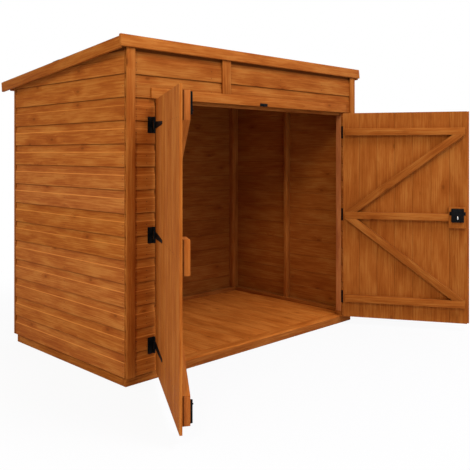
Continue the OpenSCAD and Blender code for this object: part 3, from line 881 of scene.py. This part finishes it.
def oblong(low_u, low_z, high_u, high_z, radius=0.0, steps=4):
    """The corners of an upright rectangle, rounded where a radius is given."""
    corners = [(low_u, low_z), (high_u, low_z), (high_u, high_z), (low_u, high_z)]
    return rounded(corners, radius, steps) if radius else corners


def around(u, z, half_w, half_h, radius=0.0, steps=4):
    return oblong(u - half_w, z - half_h, u + half_w, z + half_h, radius, steps)


def plate(bm, outline, back, face, ease=0.0006):
    """A plate in the door's plane: outline of (across, up), from its back to its face."""
    part = bmesh.new()
    low = [part.verts.new((u, back, z)) for u, z in outline]
    high = [part.verts.new((u, face, z)) for u, z in outline]
    front = prism(part, low, high)
    face_out(part)
    bevelled(part, list(front.edges), ease)
    join(bm, part)


def join(bm, part):
    mesh = bpy.data.meshes.new("part")
    part.to_mesh(mesh)
    part.free()
    bm.from_mesh(mesh)
    bpy.data.meshes.remove(mesh)


def ring(bm, radius, height, sides):
    turns = [2 * math.pi / sides * k for k in range(sides)]
    return [bm.verts.new((radius * math.cos(turn), radius * math.sin(turn), height)) for turn in turns]


def turned(bm, profile, centre=ORIGIN, axis=UP, sides=20):
    """A turned piece: profile of (radius, height) swept round an axis through a centre."""
    part = bmesh.new()
    rows = [ring(part, radius, height, sides) for radius, height in profile]
    for a, b in zip(rows, rows[1:]):
        wrapped(part, a, b)
    part.faces.new(rows[0][::-1])
    part.faces.new(rows[-1])
    lean = Vector(UP).rotation_difference(Vector(axis)).to_matrix().to_4x4()
    part.transform(Matrix.Translation(centre) @ lean)
    face_out(part)
    join(bm, part)


def barrel(radius, low, high, ease=0.0006):
    return [(radius - ease, low), (radius, low + ease), (radius, high - ease), (radius - ease, high)]


def iron(name, bm, place, body, node, slot="black_iron"):
    """Puts ironwork that was drawn on a shut door in its place."""
    bm.transform(place)
    face_out(bm)
    return fit(piece(name, bm, STEEL if slot == "bright_steel" else IRON), body, slot, node)


# %% [markdown]
# ## Tee hinges
# Three tee hinges carry each door. The short plate is screwed to the wall and holds the pin between its two
# knuckles. On the right it has a thin black leaf turned in along the edge of the wall boards, a dark sheet
# that stands in for the shadow in the gap beside the knuckles; on the left the pin stands over the wall. The
# long strap tapers along the door and turns on the pin with the middle knuckle.
# Near the pin it is thinner at the back, so that it clears the wall when the door is shut.

# %% Hinges
PLATE_FAR, PLATE_NEAR, PLATE_HALF = -0.041, -0.0054, 0.043
IRON_BACK, IRON_FACE = 0.006, 0.003
KNUCKLE, PIN, PIN_PROUD = 0.0056, 0.0025, 0.0012
PANEL_EDGE, SHADOW_LEAF_IN, SHADOW_LEAF_THICK = -0.003, 0.018, 0.001
ROOT_BACK = 0.005
OUTER_KNUCKLE, MIDDLE_KNUCKLE = 0.0212, 0.0213
STRAP_LENGTH, STRAP_ROOT, STRAP_TIP, STRAP_INSET = 0.288, 0.019, 0.008, 0.0003
STRAP_SCREWS = (0.052, 0.150, 0.262)
PLATE_SCREWS = ((-0.031, -0.031), (-0.018, 0.0), (-0.031, 0.031))


def hinge_plates(bm, z, gap_shadow_leaf):
    arm = PLATE_HALF - OUTER_KNUCKLE
    plate(bm, oblong(PLATE_FAR, z - PLATE_HALF, PLATE_NEAR, z + PLATE_HALF, 0.004), IRON_BACK, IRON_FACE)
    for low, high in ((-PLATE_HALF, -arm), (arm, PLATE_HALF)):
        plate(bm, oblong(PLATE_NEAR - 0.001, z + low, -0.0005, z + high), IRON_BACK, IRON_FACE, 0.0003)
        turned(bm, barrel(KNUCKLE, z + low, z + high))
    # A thin black leaf on the panel edge, a dark sheet that stands in for the shadow in the gap beside the
    # knuckles.
    if gap_shadow_leaf:
        leaf = oblong(PANEL_EDGE, z - PLATE_HALF, PANEL_EDGE + SHADOW_LEAF_THICK, z + PLATE_HALF)
        plate(bm, leaf, SHADOW_LEAF_IN, IRON_BACK, 0.0002)
    half = PLATE_HALF + PIN_PROUD
    turned(bm, barrel(PIN, z - half, z + half, 0.0008), sides=14)


def strap_outline(z, start, inset):
    """A taper with a round tip, from a distance past the pin."""
    tip, end = STRAP_LENGTH - STRAP_TIP, STRAP_TIP - inset
    root = STRAP_ROOT + (STRAP_TIP - STRAP_ROOT) * start / tip - inset
    turns = [math.pi * k / 8 for k in range(9)]
    nose = [(tip + end * math.sin(turn), z - end * math.cos(turn)) for turn in turns]
    return [(start, z - root), *nose, (start, z + root)]


def hinge_strap(bm, z, reach):
    plate(bm, strap_outline(z, 0.0, 0.0), ROOT_BACK, IRON_FACE)
    plate(bm, strap_outline(z, reach, STRAP_INSET), IRON_BACK, ROOT_BACK - STRAP_INSET, 0.0001)
    turned(bm, barrel(KNUCKLE, z - MIDDLE_KNUCKLE, z + MIDDLE_KNUCKLE))


plates = bmesh.new()
for side in ("left", "right"):
    part = bmesh.new()
    for z in LEDGE_HEIGHTS:
        hinge_plates(part, z, side == "right")
    part.transform(pin_place(side, shut=True))
    face_out(part)
    join(plates, part)
    straps = bmesh.new()
    for z in LEDGE_HEIGHTS:
        hinge_strap(straps, z, pin_to_gap(side) + LEAF_EDGE)
    iron(side + "_strap_irons", straps, pin_place(side), side + "_door", side + "_hinge_straps")
hinge_irons = iron("hinge_plate_irons", plates, Matrix(), "shed", "hinge_plates")
print("hinge plates:", len(hinge_irons.data.polygons), "faces")

# %% [markdown]
# ## Tower bolts, lock and catch
# The left door is held by two tower bolts on its blocks: a channel with a staple at each end, and a rod with
# a knob that slides in it. The right door has a rim lock: a pressed case with an ear on each side and an oval
# turn. A small plate on the strip over the doorway takes the bolt of the shut doors.

# %% Bolts
ROD_U = LEAF_FREE - 0.054
ROD_RADIUS, ROD_LENGTH = 0.004, 0.096
GUIDE_FACE = LEDGE_FACE + 0.002
ROD_DEPTH = LEDGE_FACE + 0.00706
ROD_SET = 0.027
TOP_ROD, BOTTOM_ROD = leaf_high - ROD_SET - ROD_LENGTH, leaf_low + ROD_SET
STAPLE_FOOT, STAPLE_TALL, FOOT_THICK = 0.010, 0.012, 0.0014
GUIDE_HALF, RAIL_IN, RAIL_OUT, RAIL_TALL = 0.012, 0.0047, 0.0068, 0.0050
KNOB = [(0.0022, 0.0), (0.0022, 0.004), (0.003, 0.0055), (0.0031, 0.0078), (0.0022, 0.0092), (0.0008, 0.0095)]
KNOB_SET = STAPLE_TALL + 0.006


def staple(bm, low):
    """A band that arches over the rod, with two feet on the plate."""
    part = bmesh.new()
    inner, outer = ROD_RADIUS + 0.0004, ROD_RADIUS + 0.0022
    arc = [(math.cos(math.pi * k / 10), math.sin(math.pi * k / 10)) for k in range(11)]
    base = GUIDE_FACE - ROD_DEPTH
    foot = base + FOOT_THICK
    right_foot = [(STAPLE_FOOT, base), (STAPLE_FOOT, foot), (outer, foot)]
    left_foot = [(-u, y) for u, y in right_foot[::-1]]
    outside = right_foot + [(outer * c, outer * s) for c, s in arc] + left_foot
    inside = [(-inner, base)] + [(inner * c, inner * s) for c, s in arc[::-1]] + [(inner, base)]
    prism(part, *([part.verts.new((ROD_U + u, ROD_DEPTH + y, z)) for u, y in outside + inside]
                  for z in (low, low + STAPLE_TALL)))
    face_out(part)
    join(bm, part)


def tower_bolt(rod_low, knob_z, node):
    rod = bmesh.new()
    turned(rod, barrel(ROD_RADIUS, rod_low, rod_low + ROD_LENGTH, 0.0012), (ROD_U, ROD_DEPTH, 0))
    turned(rod, KNOB, (ROD_U, ROD_DEPTH, knob_z), BACK, 16)
    return iron(node + "_iron", rod, door_place("left"), node, node)


guides = bmesh.new()
for low in (TOP_ROD, BOTTOM_ROD):
    high = low + ROD_LENGTH
    channel = oblong(ROD_U - GUIDE_HALF, low, ROD_U + GUIDE_HALF, high, 0.003)
    plate(guides, channel, LEDGE_FACE, GUIDE_FACE, 0.0005)
    for foot in (low, high - STAPLE_TALL):
        staple(guides, foot)
    for s in (-1, 1):
        rail = oblong(ROD_U + s * RAIL_IN, low + 0.001, ROD_U + s * RAIL_OUT, high - 0.001)
        plate(guides, rail, GUIDE_FACE - 0.0005, ROD_DEPTH + RAIL_TALL, 0.0004)
guide_irons = iron("left_bolt_irons", guides, door_place("left"), "left_door", "left_bolt_guides")
tower_bolt(TOP_ROD, TOP_ROD + KNOB_SET, "top_bolt")
tower_bolt(BOTTOM_ROD, BOTTOM_ROD + ROD_LENGTH - KNOB_SET, "bottom_bolt")
print("bolt guides:", len(guide_irons.data.polygons), "faces")

# %% Lock and catch
LOCK_U, LOCK_Z = LEAF_FREE - 0.064, LEDGE_HEIGHTS[1] + 0.01567
LOCK_HALF_W, LOCK_HALF_H, LOCK_THICK = 0.040, 0.046, 0.022
EAR, EAR_TALL, EAR_THICK = 0.012, 0.024, 0.003
LOCK_FACE = LEDGE_FACE + LOCK_THICK
TURN_Z = LOCK_Z - 0.015

lock = bmesh.new()
case = around(LOCK_U, LOCK_Z, LOCK_HALF_W, LOCK_HALF_H, 0.004)
plate(lock, case, LEDGE_FACE, LOCK_FACE, 0.0022)
ears = around(LOCK_U, LOCK_Z + EAR_TALL / 2, LOCK_HALF_W + EAR, EAR_TALL / 2, 0.005)
plate(lock, ears, LEDGE_FACE, LEDGE_FACE + EAR_THICK)
plate(lock, around(LOCK_U, TURN_Z, 0.013, 0.021, 0.012, 6), LOCK_FACE - 0.001, LOCK_FACE + 0.0014)
iron("lock_case_iron", lock, door_place("right"), "right_door", "lock_case")

turn = bmesh.new()
oval = around(LOCK_U, TURN_Z, 0.0038, 0.0105, 0.0038, 6)
plate(turn, oval, LOCK_FACE + 0.0004, LOCK_FACE + 0.008, 0.0018)
iron("lock_turn_steel", turn, door_place("right"), "right_door", "lock_turn", "bright_steel")

low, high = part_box("head_catch_plate")
catch = bmesh.new()
plate(catch, oblong(low.x, low.z, high.x, high.z, 0.002), high.y, low.y, 0.0008)
box = around((low.x + high.x) / 2, low.z + 0.004, 0.009, 0.006, 0.002)
plate(catch, box, low.y + 0.001, low.y - 0.004, 0.0012)
catch_iron = iron("head_catch_iron", catch, Matrix(), "shed", "head_catch_plate")
print("lock and catch made;", catch_iron.name, len(catch_iron.data.polygons), "faces")

# %% [markdown]
# ## Nails and screws by Geometry Nodes
# Boards are nailed at each stud and ledge, the felt is held by clout nails, and the ironwork by cross-head
# screws. They repeat by the hundred, so one head of a few dozen faces is drawn for each kind, and a tree sets
# it on points that carry the way they face. Screws get a random turn, as no fitter lines up the crosses.


# %% Heads tree
def heads_tree():
    g = Growth("fixing heads", ("Head", "Object"), ("Seed", "Int"), ("Finish", "Material"))
    facing = g.named(g.node("GeometryNodeInputNamedAttribute", data_type="FLOAT_VECTOR"), Name="facing")
    aim = g.node("FunctionNodeAlignRotationToVector", axis="Z")
    g.named(aim, Vector=live(facing.outputs, "Attribute"))
    spin = g.fed(g.node("FunctionNodeEulerToRotation"), g.rolled("FLOAT_VECTOR", ORIGIN, (0, 0, 2 * math.pi)))
    both = g.fed(g.node("FunctionNodeRotateRotation", rotation_space="LOCAL"), aim.outputs[0], spin)
    head = g.named(g.node("GeometryNodeObjectInfo"), Object=g.given["Head"]).outputs["Geometry"]
    return g.ended(g.copies(g.given["Geometry"], head, Rotation=both))


HEADS = heads_tree()
print("heads tree:", len(HEADS.nodes), "nodes")


# %% Heads
SUNK = 0.0006


def dome_head(name, radius, rise, sides=10):
    bm = bmesh.new()
    turned(bm, [(radius, -SUNK), (radius, rise * 0.45), (radius * 0.72, rise * 0.9), (radius * 0.3, rise)],
           sides=sides)
    return piece(name, bm, IRON)


def cross_head(name, radius, rise):
    """A screw head with a cross cut into it."""
    bm = bmesh.new()
    section = ((radius, -SUNK), (radius, rise * 0.4), (radius * 0.8, rise))
    rings = [ring(bm, r, h, sides=16) for r, h in section]
    a, b = radius * 0.56, radius * 0.15
    corners = [(a, b), (b, b), (b, a), (-b, a), (-b, b), (-a, b)]
    corners += [(-x, -y) for x, y in corners]
    brim = [bm.verts.new((x, y, rise)) for x, y in corners]
    floor_loop = [bm.verts.new((x * 0.8, y * 0.8, rise - radius * 0.4)) for x, y in corners]
    for low, high in ((rings[0], rings[1]), (rings[1], rings[2]), (brim, floor_loop)):
        wrapped(bm, low, high)
    loops = [bm.edges.get((r[k], r[(k + 1) % len(r)])) for r in (rings[2], brim) for k in range(len(r))]
    bmesh.ops.bridge_loops(bm, edges=loops)
    bm.faces.new(floor_loop)
    bm.faces.new(rings[0][::-1])
    face_out(bm)
    return piece(name, bm, IRON)


heads = {"nail": dome_head("nail_head", 0.0022, 0.0005), "clout": dome_head("clout_head", 0.0055, 0.0012, 12),
         "screw": cross_head("screw_head", 0.0042, 0.0009)}


def fixings(name, kind, spots, body, seed):
    """Heads of one kind at (point, facing) spots, as one mesh on a body."""
    mesh = bpy.data.meshes.new(name)
    mesh.from_pydata([tuple(point) for point, _ in spots], [], [])
    facing = mesh.attributes.new("facing", "FLOAT_VECTOR", "POINT")
    facing.data.foreach_set("vector", [part for _, way in spots for part in way])
    made = grown(in_scene(name, mesh), HEADS, Head=heads[kind], Seed=seed, Finish=IRON)
    return fit(shaded(made, 50.0), body, "black_iron")


print("heads:", {k: len(h.data.polygons) for k, h in heads.items()})

# %% Wall and roof nails
NAIL_HEIGHTS = (0.020, 0.058)
SIDE_STUDS = (-0.577, 0.0, 0.577)
BACK_STUDS = (-0.924, -0.308, 0.308, 0.924)
PANEL_NAILS = (-0.930, -0.862, 0.920)
HEAD_NAILS = (-0.930, -0.40, 0.20, 0.62, 0.930)
PANEL_ROWS, WALL_ROWS, ALL_ROWS = 12, 13, 14
spots = []
front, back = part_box("front_head_panel")[0].y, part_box("back_wall")[1].y
left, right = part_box("left_wall")[0].x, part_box("right_wall")[1].x
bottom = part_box("left_wall")[0].z
for row in range(ALL_ROWS):
    for height in NAIL_HEIGHTS:
        z = bottom + row * COVER + height
        if row < WALL_ROWS:
            spots += [((left, y, z), LEFT) for y in SIDE_STUDS] + [((right, y, z), RIGHT) for y in SIDE_STUDS]
            spots += [((x, back, z), BACK) for x in BACK_STUDS]
        if row < PANEL_ROWS:
            spots += [((x, front, z), FRONT) for x in PANEL_NAILS]
        elif row > PANEL_ROWS or height > NAIL_HEIGHTS[0]:
            spots += [((x, front, z), FRONT) for x in HEAD_NAILS]
wall_nails = fixings("wall_nails", "nail", spots, "shed", 71)

CLOUT_COLUMNS, CLOUT_ROWS = 24, 13
CLOUT_TOP, CLOUT_FOOT, CLOUT_SIDE = 0.045, ROOF_LENGTH - 0.02, 1.008
spots = []
felt_top = DECK_TOP + FELT_THICK + 0.0003
for i in range(CLOUT_COLUMNS):
    x = -1.0 + 2.0 * i / (CLOUT_COLUMNS - 1)
    spots += [carried(roof_place, (x, y, felt_top + lift), UP)
              for y, lift in ((CLOUT_TOP, 0.0), (LAP_END - 0.018, FELT_THICK), (CLOUT_FOOT, 0.0))]
    spots.append(carried(roof_place, (x, ROOF_LENGTH + FELT_THICK, DECK_TOP - 0.024), BACK))
for i in range(1, CLOUT_ROWS):
    y = CLOUT_TOP + (CLOUT_FOOT - CLOUT_TOP) * i / CLOUT_ROWS
    spots += [carried(roof_place, (s * CLOUT_SIDE, y, felt_top), UP) for s in (-1, 1)]
clouts = fixings("felt_clouts", "clout", spots, "shed", 73)
print("nails:", len(wall_nails.data.polygons), "faces; clouts:", len(clouts.data.polygons))

# %% Door nails and iron screws
NAIL_SHARES = (0.28, 0.72)
GUIDE_SCREW_OFF, GUIDE_SCREWS = 0.0085, (0.030, 0.066)
LOCK_SCREW_OFF, LOCK_SCREWS = 0.030, (-0.036, 0.036)
CATCH_SCREW_IN = 0.012
nail_columns = [LEAF_EDGE + LEAF_WIDTH * (board + share) / LEAF_BOARDS
                for board in range(LEAF_BOARDS) for share in NAIL_SHARES]
plate_spots = []
for side in ("left", "right"):
    place, hinge, shut = door_place(side), pin_place(side), pin_place(side, shut=True)
    spots = [carried(place, (u, LEAF_FACE, z), FRONT)
             for u in nail_columns if u > STRAP_LENGTH for z in LEDGE_HEIGHTS]
    fixings(side + "_door_nails", "nail", spots, side + "_door", 79)
    spots = [carried(hinge, (u, IRON_FACE, z), FRONT) for z in LEDGE_HEIGHTS for u in STRAP_SCREWS]
    if side == "left":
        spots += [carried(place, (ROD_U + s * GUIDE_SCREW_OFF, GUIDE_FACE, low + rise), BACK)
                  for low in (TOP_ROD, BOTTOM_ROD) for s in (-1, 1) for rise in GUIDE_SCREWS]
    else:
        ear_off = LOCK_HALF_W + EAR / 2
        spots += [carried(place, (LOCK_U + s * ear_off, LEDGE_FACE + EAR_THICK, LOCK_Z + EAR_TALL / 2), BACK)
                  for s in (-1, 1)]
        spots += [carried(place, (LOCK_U + s * LOCK_SCREW_OFF, LOCK_FACE, LOCK_Z + rise), BACK)
                  for s in (-1, 1) for rise in LOCK_SCREWS]
    fixings(side + "_door_screws", "screw", spots, side + "_door", 83)
    plate_spots += [carried(shut, (u, IRON_FACE, z + rise), FRONT)
                    for z in LEDGE_HEIGHTS for u, rise in PLATE_SCREWS]
low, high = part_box("head_catch_plate")
middle = (low.z + high.z) / 2
plate_spots += [((x, low.y, middle), FRONT) for x in (low.x + CATCH_SCREW_IN, high.x - CATCH_SCREW_IN)]
plate_screws = fixings("hinge_plate_screws", "screw", plate_spots, "shed", 89)
for head in heads.values():
    bpy.data.objects.remove(head)
print("plate screws:", len(plate_screws.data.polygons), "faces")

# %% [markdown]
# ## Floor and light
# The shed stands on a plain pale floor. The camera sees the floor and the sky as white, while the lamps and
# the sky light the timber at a plain level. The sky is a little warmer on the left, as if a low sun were
# behind it. The floor keeps a little of its own shading, so the shed still casts a soft shadow.


# %% Stage
WARM_SIDE, COOL_SIDE = (1.0, 0.98, 0.78), (1.0, 1.01, 1.32)
SKY_STRENGTH = 0.685
SHADE_NEAR, SHADE_GONE, SHADE_SHARE = 1.4, 3.0, 0.92
GROUND_RADIUS, GROUND_LEVEL = 30.0, -0.0005


def seen_white(f, own, white, share, output):
    """Shows white to the camera, and to glossy and clear surfaces, in place of a thing's own light."""
    path = f.node("LightPath")
    seen = f.math("MAXIMUM", path.outputs["Is Camera Ray"],
                  f.math("MAXIMUM", path.outputs["Is Glossy Ray"], path.outputs["Is Transmission Ray"]))
    mixed = f.fed(f.node("MixShader"), f.math("MULTIPLY", seen, share), own, white)
    f.feed(f.tree.nodes[output].inputs["Surface"], mixed)


def sky():
    scene.world = bpy.data.worlds.new("sky")
    f = Finish("sky", scene.world)
    way = f.fed(f.node("SeparateXYZ"), f.node("TexCoord").outputs["Generated"])
    tint = f.ramp(f.span(way, -1.0, 1.0), (0.0, WARM_SIDE), (0.55, COOL_SIDE))
    light = f.named(f.tree.nodes["Background"], Color=tint, Strength=SKY_STRENGTH)
    white = f.named(f.node("Background"), Color=(1, 1, 1, 1))
    seen_white(f, light.outputs[0], white.outputs[0], 1.0, "World Output")


def pale_floor():
    f = Finish("pale floor")
    f.set(Base_Color=(0.74, 0.74, 0.73, 1.0), Roughness=0.9, Specular_IOR_Level=0.1)
    far = f.named(f.node("VectorMath", operation="LENGTH"), Vector=f.own_place())
    share = f.span(far.outputs["Value"], SHADE_NEAR, SHADE_GONE, SHADE_SHARE, 1.0, "SMOOTHSTEP")
    seen_white(f, f.shader.outputs[0], f.node("Emission").outputs[0], share, "Material Output")
    bm = bmesh.new()
    bmesh.ops.create_circle(bm, cap_ends=True, segments=64, radius=GROUND_RADIUS)
    bmesh.ops.translate(bm, verts=bm.verts[:], vec=(0, 0, GROUND_LEVEL))
    ground = piece("ground", bm, f.material)


def lamp(name, place, aim, size, power, colour):
    data = bpy.data.lights.new(name, "AREA")
    data.shape, data.size, data.energy, data.color = "DISK", size, power, colour
    made = in_scene(name, data)
    made.location = place
    made.rotation_euler = (Vector(aim) - Vector(place)).to_track_quat("-Z", "Y").to_euler()


sky()
pale_floor()
lamp("key", place=(-5.20, -3.60, 4.40), aim=(0, -0.4, 0.9), size=1.8, power=132.0, colour=(1.0, 0.96, 0.78))
lamp("overhead", place=(0.2, -4.2, 5.8), aim=(0, -0.5, 0.3), size=2.4, power=180.0, colour=(1.0, 1.0, 1.12))
scene.view_settings.view_transform = "Standard"
print("stage lit")
